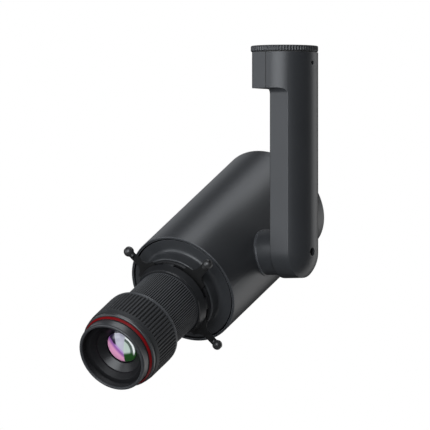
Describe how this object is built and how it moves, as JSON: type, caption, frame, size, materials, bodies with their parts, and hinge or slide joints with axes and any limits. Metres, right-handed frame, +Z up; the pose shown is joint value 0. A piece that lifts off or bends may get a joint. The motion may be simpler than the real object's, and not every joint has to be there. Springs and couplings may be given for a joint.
{
  "type": "profile spotlight",
  "caption": "Framing spotlight on a pan and tilt arm, with a round lamp body, framing shutters in a turning gate, a zoom ring and a focus ring with a hood.",
  "frame": {"origin": "centre of the mounting disc's top face, on the pan axis, at the mouth of the threaded stem hole", "axes": "+Z up out of the stem hole along the pan axis; +X from the lamp body to the arm, along the tilt pivot; the lens looks towards -Y, 29.5 degrees down"},
  "size_m": [0.1248, 0.2425, 0.2519],
  "materials": {
    "powder_black": "satin powder coat",
    "anodised_black": "matt black anodised",
    "ring_black": "matt black anodised",
    "barrel_grey": "satin grey anodised",
    "red_anodised": "satin red anodised",
    "blade_black": "matt black",
    "knob_black": "satin",
    "steel": "turned",
    "screw_black": "blackened steel",
    "bare_aluminium": "machined",
    "brass": "turned",
    "fibre": "plain",
    "board_green": "solder mask",
    "part_dark": "moulded",
    "tray_grey": "moulded",
    "board_white": "white solder mask",
    "phosphor": "satin",
    "holder_white": "moulded",
    "lead_black": "matt",
    "lens_clear": "polished",
    "lens_coated": "polished and coated"
  },
  "bodies": {
    "mount": {"top_disc": "powder_black", "pan_spindle": "steel", "pan_friction_washer": "fibre", "pan_disc_spring": "steel", "spindle_nut": "steel"},
    "arm": {"arm_shell": "powder_black", "head_block": "powder_black", "arm_cover": "powder_black", "cover_screws": "screw_black", "head_screws": "screw_black", "pan_lock_screw": "screw_black", "tilt_lock_screw": "screw_black", "lock_pad": "brass", "arm_lead": "lead_black"},
    "lamp": {"knuckle": "powder_black", "tilt_friction_washer": "fibre", "tilt_disc_spring": "steel", "tilt_nut": "steel", "pivot_shaft": "steel", "saddle_block": "bare_aluminium", "knuckle_screws": "steel", "housing_tube": "powder_black", "rear_cap": "powder_black", "cap_screws": "screw_black", "tie_rods": "bare_aluminium", "driver_tray": "tray_grey", "driver_board": "board_green", "driver_parts": "part_dark", "body_leads": "lead_black", "heat_sink": "bare_aluminium", "led_board": "board_white", "led_emitter": "phosphor", "led_holder": "holder_white", "condenser_barrel": "anodised_black", "condenser_lens": "lens_clear", "front_bezel": "powder_black"},
    "gate": {"gate_ring": "anodised_black", "gate_retainer": "anodised_black", "blade_spacers": "steel", "gate_cover": "anodised_black", "gate_screws": "screw_black", "lens_tube": "anodised_black"},
    "shutter_1": {"shutter_blade_1": "blade_black", "shutter_knob_1": "knob_black"},
    "shutter_2": {"shutter_blade_2": "blade_black", "shutter_knob_2": "knob_black"},
    "shutter_3": {"shutter_blade_3": "blade_black", "shutter_knob_3": "knob_black"},
    "shutter_4": {"shutter_blade_4": "blade_black", "shutter_knob_4": "knob_black"},
    "zoom_ring": {"zoom_ring": "ring_black"},
    "zoom_group": {"zoom_carriage": "anodised_black", "zoom_lens": "lens_clear", "zoom_pins": "steel"},
    "front_barrel": {"front_barrel": "barrel_grey", "lens_cone": "barrel_grey", "front_lens": "lens_coated", "red_ring": "red_anodised", "hood": "barrel_grey"},
    "focus_ring": {"focus_ring": "ring_black"}
  },
  "joints": [
    {"name": "pan", "type": "hinge", "parent": "mount", "child": "arm", "pos_m": [0, 0, 0], "axis": [0, 0, 1], "range_deg": [-175, 175]},
    {"name": "tilt", "type": "hinge", "parent": "arm", "child": "lamp", "pos_m": [0, 0, -0.1505], "axis": [1, 0, 0], "range_deg": [-29.5, 60.5]},
    {"name": "gate_turn", "type": "hinge", "parent": "lamp", "child": "gate", "pos_m": [-0.0572, 0, -0.1505], "axis": [0, -0.8704, -0.4924], "range_deg": [-45, 45]},
    {"name": "shutter_1_slide", "type": "slide", "parent": "gate", "child": "shutter_1", "axis": [-0.8241, 0.2789, -0.493], "range_m": [0, 0.0125]},
    {"name": "shutter_2_slide", "type": "slide", "parent": "gate", "child": "shutter_2", "axis": [0.5664, 0.4058, -0.7173], "range_m": [0, 0.0125]},
    {"name": "shutter_3_slide", "type": "slide", "parent": "gate", "child": "shutter_3", "axis": [0.8241, -0.2789, 0.493], "range_m": [0, 0.0125]},
    {"name": "shutter_4_slide", "type": "slide", "parent": "gate", "child": "shutter_4", "axis": [-0.5664, -0.4058, 0.7173], "range_m": [0, 0.0125]},
    {"name": "zoom_turn", "type": "hinge", "parent": "gate", "child": "zoom_ring", "pos_m": [-0.0572, 0, -0.1505], "axis": [0, -0.8704, -0.4924], "range_deg": [-45, 45]},
    {"name": "zoom_slide", "type": "slide", "parent": "gate", "child": "zoom_group", "axis": [0, -0.8704, -0.4924], "range_m": [-0.007, 0.007]},
    {"name": "focus_slide", "type": "slide", "parent": "gate", "child": "front_barrel", "axis": [0, -0.8704, -0.4924], "range_m": [0, 0.006]},
    {"name": "focus_turn", "type": "hinge", "parent": "front_barrel", "child": "focus_ring", "pos_m": [-0.0572, 0, -0.1505], "axis": [0, -0.8704, -0.4924], "range_deg": [0, 180]}
  ],
  "couplings": [
    {"joint": "zoom_slide", "follows": "zoom_turn", "m_per_rad": 0.0089126},
    {"joint": "focus_slide", "follows": "focus_turn", "m_per_rad": 0.0019098}
  ]
}
